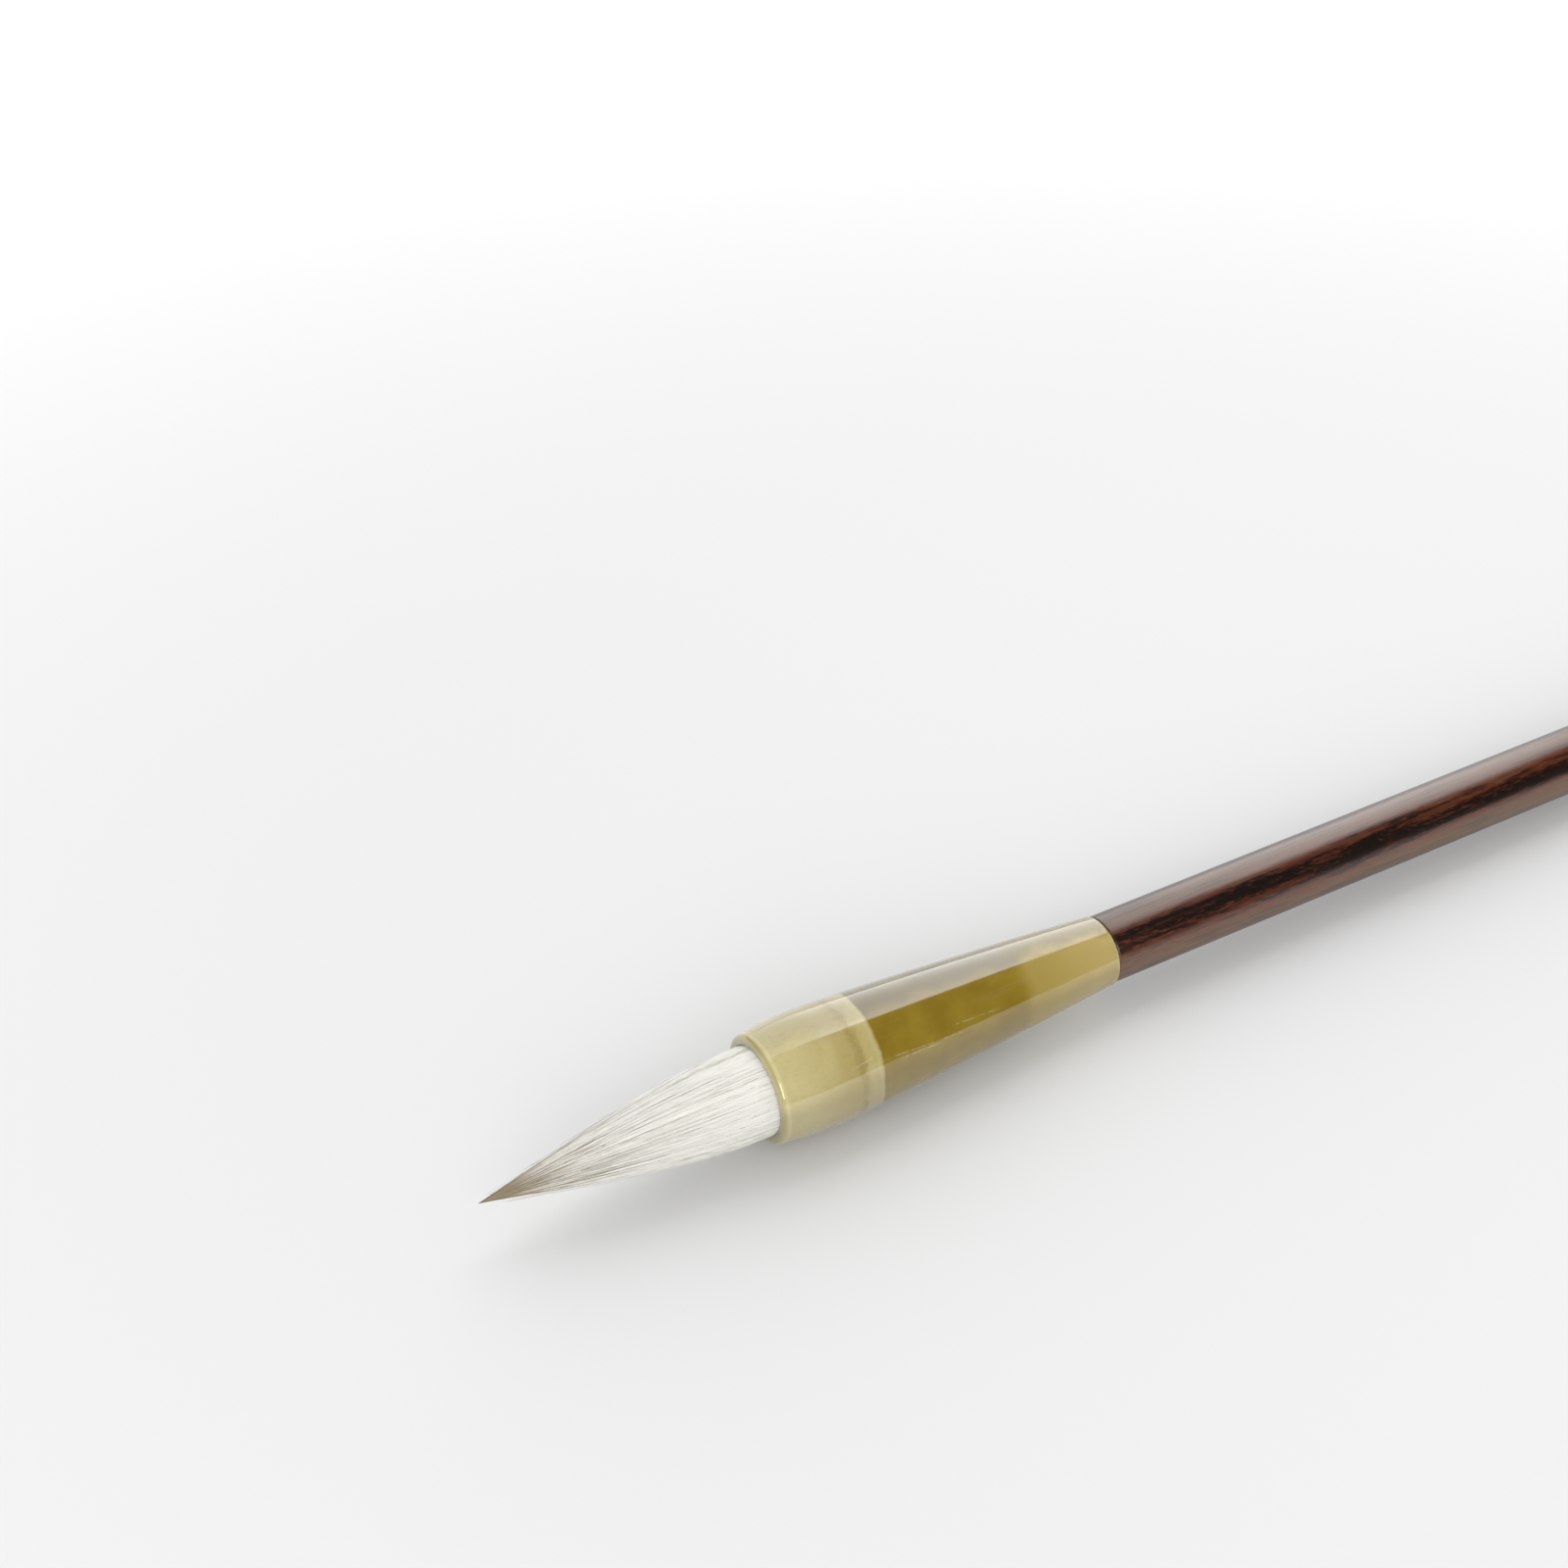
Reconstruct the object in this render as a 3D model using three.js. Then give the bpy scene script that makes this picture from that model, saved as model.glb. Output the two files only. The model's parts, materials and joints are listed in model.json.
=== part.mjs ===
import * as THREE from "three";

// A calligraphy brush that lies on its side: millimetres, +Z up, the tip of the hair towards -X.
// Every piece is turned about the brush's own axis. Places along that axis are counted from the
// mouth of the ferrule: the hair runs to negative places, and the handle to positive ones.

// Hair tuft
const hairLength = 39; // what shows, from the mouth of the ferrule to the tip
const knotRadius = 6; // the hair, at the mouth of the ferrule
const mantleWall = 1.4; // thickness of the outer layer of hair
const secondaryWall = 1; // thickness of the layer under it, at the root
const layerFit = 0.2; // between one layer of hair and the next

// Ferrule: one piece of horn, bored from both ends with a solid web between
const ferruleLength = 54.4;
const socketDepth = 15.6; // holds the hair
const tenonSocketDepth = 13.5; // holds the handle
const hairFit = 0.2; // between the hair and the wall of its socket, at the mouth
const mouthWall = 1.25;
const bellySwell = 0.7; // how far the belly stands out beyond the mouth
const bellyPlace = 8;
const neckStep = 0.2; // how far the neck stands out beyond the handle
const neckWall = 1.1;
const taperPower = 1.25; // 1 would be a straight cone from the belly to the neck
const lipRound = 0.7;
const neckRound = 0.45;
const mouthChamfer = 0.3;

// Glue, seal and binding
const glueFit = 0.2; // between glue and what it holds
const knotGlueWall = 0.4;
const knotGlueBase = 0.8;
const knotGlueFrom = 3.2;
const collarTaper = 0.4; // where the hair narrows to enter the glue
const sealThickness = 1.2;
const threadRadius = 0.25;
const threadTurns = 3;
const threadPitch = 0.6;
const threadFromRoot = 0.8; // from the binding's last turn to the hair's root
const tenonGlueWall = 0.3;
const tenonGlueBase = 0.4;

// Handle and butt cap
const handleRadius = 4.8;
const handleLength = 176; // wood that shows
const faceFit = 0.2; // between two end faces that meet
const handleChamfer = 0.25;
const capLength = 11;
const capStraight = 4; // the cap's full-width stretch, before its dome
const capRound = 1.9; // how far the dome draws in to the cap's end face
const capBoreWall = 1.8; // round the bore in the handle's end
const capBoreDepth = 9;
const capGlueWall = 0.3;
const cordHoleRadius = 1.2;
const cordHoleDepth = 7;

// How finely the round shapes are drawn
const facets = 24;
const threadSides = 6;
const threadStepsPerTurn = 16;
const tuftSteps = 12;
const bellySteps = 4;
const taperSteps = 9;
const arcSteps = 3;
const domeSteps = 6;

const finish = (color, roughness) => new THREE.MeshStandardMaterial({ color, roughness, metalness: 0 });
const horn = finish(0xb9a866, 0.25);
const darkWood = finish(0x4a2014, 0.25);
const whiteHair = finish(0xe4e0d6, 0.8);
const silkThread = finish(0xb8ad94, 0.7);
const paleGlue = finish(0xd8cf9c, 0.5);
const rosin = finish(0x8a6a2c, 0.35);

// A piece turned about the brush's axis. Its outline is a list of [place along the axis, radius],
// drawn from the tip's side towards the butt on the outside. The middle of each flat is at the
// true radius, and one flat faces straight down, so that the brush rests on flats.
function turned(name, outline, material) {
  const roundToFlat = 1 / Math.cos(Math.PI / facets);
  const profile = outline.map(([along, radius]) => new THREE.Vector2(radius * roundToFlat, along));
  const mesh = new THREE.Mesh(new THREE.LatheGeometry(profile, facets, Math.PI / facets), material);
  mesh.name = name;
  mesh.rotation.z = -Math.PI / 2;
  return mesh;
}

// A quarter round from one end of a wall to the next, as outline points.
function quarterRound(centreAlong, centreRadius, size, from) {
  return Array.from({ length: arcSteps + 1 }, (_, i) => {
    const angle = from - (i / arcSteps) * (Math.PI / 2);
    return [centreAlong + size * Math.cos(angle), centreRadius + size * Math.sin(angle)];
  });
}

// The outside of the ferrule swells from its mouth to the belly, then tapers to its neck.
const socketRadius = knotRadius + hairFit;
const mouthRadius = socketRadius + mouthWall;
const bellyRadius = mouthRadius + bellySwell;
const neckRadius = handleRadius + neckStep;

function ferruleRadius(along) {
  if (along < bellyPlace) {
    return bellyRadius - (bellyRadius - mouthRadius) * (1 - along / bellyPlace) ** 2;
  }
  const share = (along - bellyPlace) / (ferruleLength - bellyPlace);
  return bellyRadius - (bellyRadius - neckRadius) * share ** taperPower;
}

function ferruleOutside() {
  const swell = Array.from({ length: bellySteps }, (_, i) => {
    const along = lipRound + ((bellyPlace - lipRound) * (i + 1)) / bellySteps;
    return [along, ferruleRadius(along)];
  });
  const taperEnd = ferruleLength - neckRound;
  const taper = Array.from({ length: taperSteps - 1 }, (_, i) => {
    const along = bellyPlace + ((taperEnd - bellyPlace) * (i + 1)) / taperSteps;
    return [along, ferruleRadius(along)];
  });
  return [
    ...quarterRound(lipRound, ferruleRadius(lipRound) - lipRound, lipRound, Math.PI),
    ...swell,
    ...taper,
    ...quarterRound(taperEnd, ferruleRadius(taperEnd) - neckRound, neckRound, Math.PI / 2),
  ];
}

const ferruleProfile = ferruleOutside();
const tenonSocketRadius = neckRadius - neckWall;
const tenonSocketBottom = ferruleLength - tenonSocketDepth;

function makeFerrule() {
  const outline = [
    [socketDepth, 0],
    [socketDepth, socketRadius],
    [mouthChamfer, socketRadius],
    [0, socketRadius + mouthChamfer],
    ...ferruleProfile,
    [ferruleLength, tenonSocketRadius],
    [tenonSocketBottom, tenonSocketRadius],
    [tenonSocketBottom, 0],
  ];
  return turned("ferrule", outline, horn);
}

// The glue is a cup that lines the hair socket: the root of the hair sits in it, on its seal.
const knotGlueOuter = socketRadius - glueFit;
const knotGlueInner = knotGlueOuter - knotGlueWall;
const knotGlueBack = socketDepth - glueFit;
const knotGlueFloor = knotGlueBack - knotGlueBase;
const sealBack = knotGlueFloor - glueFit;
const sealFront = sealBack - sealThickness;
const rootPlace = sealFront - glueFit;
const rootRadius = knotGlueInner - glueFit;

function makeKnotGlue() {
  const outline = [
    [knotGlueFloor, 0],
    [knotGlueFloor, knotGlueInner],
    [knotGlueFrom, knotGlueInner],
    [knotGlueFrom, knotGlueOuter],
    [knotGlueBack, knotGlueOuter],
    [knotGlueBack, 0],
  ];
  return turned("knot_glue", outline, paleGlue);
}

function makeRosinSeal() {
  const outline = [
    [sealFront, 0],
    [sealFront, rootRadius],
    [sealBack, rootRadius],
    [sealBack, 0],
  ];
  return turned("rosin_seal", outline, rosin);
}

// The visible tuft: a fine point that swells, evenly at first, to the full width of the knot.
const grooveRadius = rootRadius - 2 * threadRadius - layerFit;
const mantleRootBore = grooveRadius - mantleWall;
const secondaryRootRadius = mantleRootBore - layerFit;
const secondaryBore = secondaryRootRadius - secondaryWall;
const coreRadius = secondaryBore - layerFit;
const tuftCurve = new THREE.CubicBezierCurve(
  new THREE.Vector2(-hairLength, 0),
  new THREE.Vector2(-0.67 * hairLength, 0.45 * knotRadius),
  new THREE.Vector2(-0.32 * hairLength, knotRadius),
  new THREE.Vector2(0, knotRadius),
);
const tuftOutside = tuftCurve.getPoints(tuftSteps).map((p) => [p.x, p.y]);

// Where an outline's radius first passes a value.
function placeOfRadius(outline, value) {
  const next = outline.findIndex(([, radius]) => radius > value);
  const [[along0, radius0], [along1, radius1]] = outline.slice(next - 1, next + 1);
  return along0 + ((along1 - along0) * (value - radius0)) / (radius1 - radius0);
}

// The tuft's outline drawn in by some depth, from the axis to the mouth of the ferrule.
function tuftInside(depth) {
  const wider = tuftOutside.filter(([, radius]) => radius > depth);
  const apex = [placeOfRadius(tuftOutside, depth), 0];
  return [apex, ...wider.map(([along, radius]) => [along, radius - depth])];
}

const grooveBack = rootPlace - threadFromRoot + threadRadius + layerFit;
const grooveFront = grooveBack - threadTurns * threadPitch - 2 * (threadRadius + layerFit);
const collarEnd = knotGlueFrom - glueFit;

function makeMantleHairs() {
  const inside = tuftInside(mantleWall).reverse();
  const outline = [
    ...tuftOutside,
    [collarEnd - collarTaper, knotRadius],
    [collarEnd, rootRadius],
    [grooveFront, rootRadius],
    [grooveFront, grooveRadius],
    [grooveBack, grooveRadius],
    [grooveBack, rootRadius],
    [rootPlace, rootRadius],
    [rootPlace, mantleRootBore],
    [collarEnd, mantleRootBore],
    ...inside,
  ];
  return turned("mantle_hairs", outline, whiteHair);
}

// The shorter hair that fills out the belly, round the core.
function makeSecondaryHairs() {
  const outer = tuftInside(mantleWall + layerFit);
  const front = placeOfRadius(outer, secondaryBore);
  const outline = [
    [front, secondaryBore],
    ...outer.filter(([along]) => along > front),
    [collarEnd, secondaryRootRadius],
    [rootPlace, secondaryRootRadius],
    [rootPlace, secondaryBore],
    [front, secondaryBore],
  ];
  return turned("secondary_hairs", outline, whiteHair);
}

// The longest hair, in the middle of the knot. Its tip fills the inside of the mantle's point.
function makeCoreHairs() {
  const tip = tuftInside(mantleWall + layerFit);
  const full = placeOfRadius(tip, coreRadius);
  const outline = [
    ...tip.filter(([along]) => along < full),
    [full, coreRadius],
    [rootPlace, coreRadius],
    [rootPlace, 0],
  ];
  return turned("core_hairs", outline, whiteHair);
}

// The thread that ties the root of the knot, in a groove that it presses into the hair.
class Winding extends THREE.Curve {
  getPoint(t, target = new THREE.Vector3()) {
    const turn = 2 * Math.PI * threadTurns * t;
    const radius = rootRadius - threadRadius;
    const along = rootPlace - threadFromRoot - threadTurns * threadPitch * (1 - t);
    return target.set(along, radius * Math.cos(turn), radius * Math.sin(turn));
  }
}

function makeBindingThread() {
  const section = Array.from({ length: threadSides }, (_, i) => {
    const angle = (2 * Math.PI * i) / threadSides;
    return new THREE.Vector2(threadRadius * Math.cos(angle), threadRadius * Math.sin(angle));
  });
  const geometry = new THREE.ExtrudeGeometry(new THREE.Shape(section), {
    steps: threadTurns * threadStepsPerTurn,
    extrudePath: new Winding(),
    bevelEnabled: false,
  });
  const mesh = new THREE.Mesh(geometry, silkThread);
  mesh.name = "root_binding_thread";
  return mesh;
}

// The handle's front tenon sits in its own cup of glue, in the neck of the ferrule.
const tenonGlueOuter = tenonSocketRadius - glueFit;
const tenonGlueInner = tenonGlueOuter - tenonGlueWall;
const tenonGlueFront = tenonSocketBottom + glueFit;
const tenonGlueFloor = tenonGlueFront + tenonGlueBase;
const tenonFront = tenonGlueFloor + glueFit;
const tenonRadius = tenonGlueInner - glueFit;
const handleFront = ferruleLength + faceFit;
const handleBack = handleFront + handleLength;
const capBoreRadius = handleRadius - capBoreWall;
const capBoreBottom = handleBack - capBoreDepth;

function makeTenonGlue() {
  const outline = [
    [tenonGlueFront, 0],
    [tenonGlueFront, tenonGlueOuter],
    [ferruleLength, tenonGlueOuter],
    [ferruleLength, tenonGlueInner],
    [tenonGlueFloor, tenonGlueInner],
    [tenonGlueFloor, 0],
  ];
  return turned("tenon_glue", outline, paleGlue);
}

function makeHandle() {
  const outline = [
    [tenonFront, 0],
    [tenonFront, tenonRadius],
    [handleFront, tenonRadius],
    [handleFront, handleRadius - handleChamfer],
    [handleFront + handleChamfer, handleRadius],
    [handleBack, handleRadius],
    [handleBack, capBoreRadius],
    [capBoreBottom, capBoreRadius],
    [capBoreBottom, 0],
  ];
  return turned("handle_shaft", outline, darkWood);
}

// The butt cap plugs into the handle's end, and is bored from behind for a hanging cord.
const capFaceRadius = handleRadius - capRound;
const capGlueOuter = capBoreRadius - glueFit;
const capGlueInner = capGlueOuter - capGlueWall;
const capTenonRadius = capGlueInner - glueFit;
const capTenonFront = capBoreBottom + glueFit;
const capFront = handleBack + faceFit;
const capBack = capFront + capLength;
const capDomeStart = capFront + capStraight;

function makeCapGlue() {
  const outline = [
    [capTenonFront, capGlueInner],
    [capTenonFront, capGlueOuter],
    [handleBack, capGlueOuter],
    [handleBack, capGlueInner],
    [capTenonFront, capGlueInner],
  ];
  return turned("cap_glue", outline, paleGlue);
}

function makeButtCap() {
  const dome = Array.from({ length: domeSteps + 1 }, (_, i) => {
    const angle = ((i / domeSteps) * Math.PI) / 2;
    const along = capDomeStart + (capBack - capDomeStart) * Math.sin(angle);
    return [along, capFaceRadius + (handleRadius - capFaceRadius) * Math.cos(angle)];
  });
  const outline = [
    [capTenonFront, 0],
    [capTenonFront, capTenonRadius],
    [capFront, capTenonRadius],
    [capFront, handleRadius],
    ...dome,
    [capBack, cordHoleRadius],
    [capBack - cordHoleDepth, cordHoleRadius],
    [capBack - cordHoleDepth, 0],
  ];
  return turned("butt_cap", outline, horn);
}

// The brush rests on the belly of its ferrule and on its cap, which is thinner, so its axis
// slopes down a little towards the butt: by the steepest line from the cap to the ferrule.
const slopes = ferruleProfile.map(([along, radius]) => (radius - handleRadius) / (capDomeStart - along));
const slope = Math.atan(Math.max(...slopes));

const brush = new THREE.Group();
brush.add(
  makeFerrule(),
  makeMantleHairs(),
  makeSecondaryHairs(),
  makeCoreHairs(),
  makeBindingThread(),
  makeRosinSeal(),
  makeKnotGlue(),
  makeHandle(),
  makeTenonGlue(),
  makeButtCap(),
  makeCapGlue(),
);
brush.rotation.y = slope;
brush.position.x = (-(capBack - hairLength) / 2) * Math.cos(slope);
brush.position.z = capDomeStart * Math.sin(slope) + handleRadius * Math.cos(slope);

const part = new THREE.Group();
part.add(brush);

export default part;
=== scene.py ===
"""A calligraphy brush: white goat hair, a horn ferrule, a lacquered rosewood handle and a horn cap."""

import json
import math

import bpy
import numpy as np
from mathutils import Matrix, Vector, noise


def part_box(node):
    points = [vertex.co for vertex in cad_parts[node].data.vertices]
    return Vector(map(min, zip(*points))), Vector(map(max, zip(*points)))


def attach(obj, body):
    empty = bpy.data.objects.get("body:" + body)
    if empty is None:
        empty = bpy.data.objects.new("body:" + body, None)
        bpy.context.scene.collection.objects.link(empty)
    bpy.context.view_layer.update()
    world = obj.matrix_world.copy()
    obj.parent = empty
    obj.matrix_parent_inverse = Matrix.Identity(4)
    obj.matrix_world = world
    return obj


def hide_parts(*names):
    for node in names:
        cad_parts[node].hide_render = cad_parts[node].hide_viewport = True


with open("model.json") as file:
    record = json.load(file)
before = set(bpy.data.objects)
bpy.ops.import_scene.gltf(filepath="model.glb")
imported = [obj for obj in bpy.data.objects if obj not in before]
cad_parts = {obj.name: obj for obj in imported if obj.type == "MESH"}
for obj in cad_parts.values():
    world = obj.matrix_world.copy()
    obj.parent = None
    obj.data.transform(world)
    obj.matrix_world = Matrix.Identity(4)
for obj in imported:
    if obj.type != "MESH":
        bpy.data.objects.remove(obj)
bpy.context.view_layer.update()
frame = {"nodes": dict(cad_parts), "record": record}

MM = 0.001

# ---------------------------------------------------------------------------------------------
# Camera: it looks down on the tip of the brush, with the handle running away to the right.

VIEW_AZIMUTH = math.radians(-30.1)
VIEW_ELEVATION = math.radians(38.9)
VIEW_DISTANCE = 360.2 * MM
VIEW_AIM = Vector((-66.6, 52.8, 8.0)) * MM
VIEW_LENS = 55.46


def make_camera():
    back = Vector((
        math.sin(VIEW_AZIMUTH) * math.cos(VIEW_ELEVATION),
        -math.cos(VIEW_AZIMUTH) * math.cos(VIEW_ELEVATION),
        math.sin(VIEW_ELEVATION),
    ))
    data = bpy.data.cameras.new("camera")
    data.lens = VIEW_LENS
    data.clip_start = 10 * MM
    camera = bpy.data.objects.new("camera", data)
    camera.location = VIEW_AIM + back * VIEW_DISTANCE
    camera.rotation_euler = back.to_track_quat("Z", "Y").to_euler()
    bpy.context.scene.collection.objects.link(camera)
    bpy.context.scene.camera = camera


make_camera()

# ---------------------------------------------------------------------------------------------
# The brush's own frame. X runs along the brush from the mouth of the ferrule to the butt, and
# sizes in it are millimetres. They come from the CAD nodes.

SLICE = 0.02 * MM  # how deep an end face is looked for


def node_points(node):
    return np.array([v.co for v in frame["nodes"][node].data.vertices])


def end_centre(node, side):
    """The middle of a node's front (side -1) or back (side 1) end face."""
    points = node_points(node)
    along = points @ np.array(axis) * side
    face = points[along > along.max() - SLICE]
    return Vector((face.min(0) + face.max(0)) / 2)


def place(node, side):
    """How far behind the mouth of the ferrule a node's end face lies."""
    return (end_centre(node, side) - mouth).dot(axis) / MM


def half_width(node):
    low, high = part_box(node)
    return (high.y - low.y) / 2 / MM


axis = Vector(frame["record"]["mounts"][0]["axis"]).normalized()
mouth = end_centre("ferrule", -1)
across = Vector((0, 1, 0))
BRUSH_FRAME = Matrix((axis, across, axis.cross(across))).transposed().to_4x4()
BRUSH_FRAME.translation = mouth

TOUCH_GAP = 0.2  # what the CAD model leaves between a glued face and its neighbour

TIP = place("mantle_hairs", -1)
FERRULE_END = place("ferrule", 1)
SOCKET_BOTTOM = place("knot_glue", 1) + TOUCH_GAP
TENON_SOCKET_BOTTOM = place("tenon_glue", -1) - TOUCH_GAP
TENON_FRONT = place("handle_shaft", -1)
HANDLE_END = place("handle_shaft", 1)
CAP_TENON_FRONT = place("butt_cap", -1)
CAP_END = place("butt_cap", 1)
BELLY_RADIUS = half_width("ferrule")
KNOT_RADIUS = half_width("mantle_hairs")
HANDLE_RADIUS = half_width("handle_shaft")

# Sizes that repeat the CAD model's, where a box doesn't show them
HAIR_FIT = 0.2
MOUTH_WALL = 1.25
BELLY_PLACE = 8
NECK_STEP = 0.2
NECK_WALL = 1.1
TAPER_POWER = 1.25
LIP_ROUND = 0.7
NECK_ROUND = 0.45
TENON_RADIUS = 3.2
HANDLE_CHAMFER = 0.25
CAP_STRAIGHT = 4
CAP_ROUND = 1.9
CAP_BORE_WALL = 1.8
CAP_BORE_DEPTH = 9
CAP_TENON_RADIUS = 2.3
CORD_HOLE_RADIUS = 1.2
CORD_HOLE_DEPTH = 7

# Edges and seams, which are finer than the CAD model's
MOUTH_EDGE = 0.1  # the round of each edge
BUTT_SEAM_EDGE = 0.15
CORD_HOLE_EDGE = 0.3
FACE_FIT = 0.06  # the hairline between two end faces that meet

SOCKET_RADIUS = KNOT_RADIUS + HAIR_FIT
MOUTH_RADIUS = SOCKET_RADIUS + MOUTH_WALL
NECK_RADIUS = HANDLE_RADIUS + NECK_STEP
TENON_SOCKET_RADIUS = NECK_RADIUS - NECK_WALL

# ---------------------------------------------------------------------------------------------
# Node trees as expressions


class Value:
    """One output of a node. Arithmetic on it adds Math nodes, so 1 - mask works."""

    def __init__(self, graph, socket):
        self.graph, self.socket = graph, socket

    def __add__(self, other):
        return self.graph.math("ADD", self, other)

    def __sub__(self, other):
        return self.graph.math("SUBTRACT", self, other)

    def __rsub__(self, other):
        return self.graph.math("SUBTRACT", other, self)

    def __mul__(self, other):
        return self.graph.math("MULTIPLY", self, other)

    def __truediv__(self, other):
        return self.graph.math("DIVIDE", self, other)

    def __rtruediv__(self, other):
        return self.graph.math("DIVIDE", other, self)

    def __pow__(self, other):
        return self.graph.math("POWER", self, other)

    def __gt__(self, other):
        return self.graph.math("GREATER_THAN", self, other)

    __radd__, __rmul__ = __add__, __mul__


class Graph:
    """A shader or geometry tree under construction."""

    def __init__(self, tree):
        self.tree = tree
        tree.nodes.clear()

    def feed(self, socket, value):
        if isinstance(value, Value):
            self.tree.links.new(value.socket, socket)
        else:
            socket.default_value = value

    def node(self, kind, settings=None, inputs=None, output=0):
        """Adds a node: its settings first, then the values or links of its sockets."""
        made = self.tree.nodes.new(kind)
        for name, value in (settings or {}).items():
            if name == "stops":
                ramp = made.color_ramp
                while len(ramp.elements) < len(value):
                    ramp.elements.new(1)
                for element, (position, colour) in zip(ramp.elements, value):
                    element.position, element.color = position, (*colour, 1)
            elif name == "points":
                curve = made.mapping.curves[0]
                while len(curve.points) < len(value):
                    curve.points.new(0, 0)
                for point, location in zip(curve.points, value):
                    point.location = location
                made.mapping.update()
            else:
                setattr(made, name, value)
        for key, value in (inputs or {}).items():
            self.feed(made.inputs[key], value)
        return Value(self, made.outputs[output]) if made.outputs else made

    def math(self, operation, *values):
        return self.node("ShaderNodeMath", {"operation": operation}, dict(enumerate(values)))

    def split(self, vector):
        made = self.node("ShaderNodeSeparateXYZ", {}, {0: vector}).socket.node
        return [Value(self, socket) for socket in made.outputs]

    def join(self, x, y, z):
        return self.node("ShaderNodeCombineXYZ", {}, {0: x, 1: y, 2: z})

    def step(self, value, low, high):
        """0 below low, 1 above high, and a smooth rise between."""
        settings = {"interpolation_type": "SMOOTHSTEP"}
        return self.node("ShaderNodeMapRange", settings, {0: value, 1: low, 2: high})

    def line(self, value, centre, width):
        """1 on a centre line, falling to 0 at a width on either side."""
        return 1 - self.step(self.math("ABSOLUTE", value - centre), 0, width)

    def noise(self, vector, scale, detail=2.0, roughness=0.5):
        inputs = {"Vector": vector, "Scale": scale, "Detail": detail, "Roughness": roughness}
        return self.node("ShaderNodeTexNoise", {}, inputs)

    def mix(self, factor, first, second, blend="MIX"):
        """Mixes two colours, which are links or tuples of red, green and blue."""
        first, second = ((*c, 1) if isinstance(c, tuple) else c for c in (first, second))
        settings = {"data_type": "RGBA", "blend_type": blend}
        return self.node("ShaderNodeMix", settings, {0: factor, 6: first, 7: second}, output=2)

    def ramp(self, factor, stops):
        return self.node("ShaderNodeValToRGB", {"stops": stops}, {0: factor})

    def bump(self, height, distance, strength):
        return self.node("ShaderNodeBump", {}, {"Height": height, "Distance": distance, "Strength": strength})

    def attribute(self, name):
        return self.node("ShaderNodeAttribute", {"attribute_name": name}, output=2)

    def surface(self, **sockets):
        """Ends a shader tree in one Principled surface, given its sockets by name."""
        inputs = {name.replace("_", " ").title().replace("Ior", "IOR"): v for name, v in sockets.items()}
        shader = self.node("ShaderNodeBsdfPrincipled", {}, inputs)
        self.node("ShaderNodeOutputMaterial", {}, {"Surface": shader})


def new_material(name):
    material = bpy.data.materials.new(name)
    material.use_nodes = True
    return material, Graph(material.node_tree)


def brush_coordinates(graph):
    """Object coordinates turned into the brush's own frame, in millimetres."""
    turn = BRUSH_FRAME.to_3x3().inverted()
    settings = {"vector_type": "POINT"}
    inputs = {
        "Vector": graph.node("ShaderNodeTexCoord", {}, {}, output="Object"),
        "Location": -(turn @ mouth) / MM,
        "Rotation": turn.to_euler(),
        "Scale": (1 / MM, 1 / MM, 1 / MM),
    }
    return graph.node("ShaderNodeMapping", settings, inputs)


def stretched(graph, point, along, around):
    """Brush coordinates scaled for a pattern that runs lengthwise."""
    x, y, z = graph.split(point)
    return graph.join(x * along, y * around, z * around)


# ---------------------------------------------------------------------------------------------
# Materials

PALE_HORN = (0.57, 0.50, 0.27)  # over the hair, just behind the mouth
GLUE_HORN = (0.45, 0.37, 0.16)  # over the glue round the hair's root
ROOT_HORN = (0.30, 0.235, 0.085)  # the darker ring where the hair's root ends
GRAIN_HORN = (0.38, 0.31, 0.13)
SOLID_HORN = (0.255, 0.175, 0.019)
CLOUDED_HORN = (0.32, 0.235, 0.032)
TENON_HORN = (0.39, 0.30, 0.09)  # over the front of the handle's tenon
NECK_HORN = (0.48, 0.38, 0.16)
# painted shade: the lip's end face, darker as if turned from the light
LIP_SHADE_HORN = (0.47, 0.41, 0.21)
# light horn, also used for the painted highlight along the rims
LIGHT_HORN_AND_RIM_HIGHLIGHT = (0.74, 0.68, 0.44)
SCUFF_LIGHT = (0.80, 0.76, 0.60)
TOP_SHADE_HORN = (0.075, 0.062, 0.030)  # painted shade: the horn darkened along its top and far side
# painted shade on the horn's underside
UNDER_SHADE_HORN = (0.10, 0.08, 0.03)

KNOT_SEEN_TO = 14.8  # how far back the hair socket shows through the horn
ROOT_SEEN_AT = 11.8
NECK_SEEN_FROM = 38.9
SCUFFS = (
    # where each starts and ends along the ferrule, its angle down from the top towards -Y in
    # degrees at the start, and how many degrees it climbs on the way
    (9.6, 14.6, 57, 5),
    (16.5, 28.0, 60, -6),
    (17.5, 24.5, 65, -2),
    (26.0, 34.0, 55, -3),
    (3.2, 4.0, 92, 8),
)


def scuffs(g, point):
    """Thin light scratches in the polish."""
    x, y, z = g.split(point)
    angle = g.math("ARCTAN2", 0 - y, z) * (180 / math.pi)
    fade = g.step(g.noise(point, 1.6, detail=2), 0.38, 0.6)
    total = 0
    for start, end, turned, climb in SCUFFS:
        course = turned - (x - start) * (climb / (end - start))
        within = g.step(x, start, start + 0.3) * (1 - g.step(x, end - 1.5, end))
        total = g.line(angle, course, 1.1) * within + total
    return g.math("MINIMUM", total * fade, 1)


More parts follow.
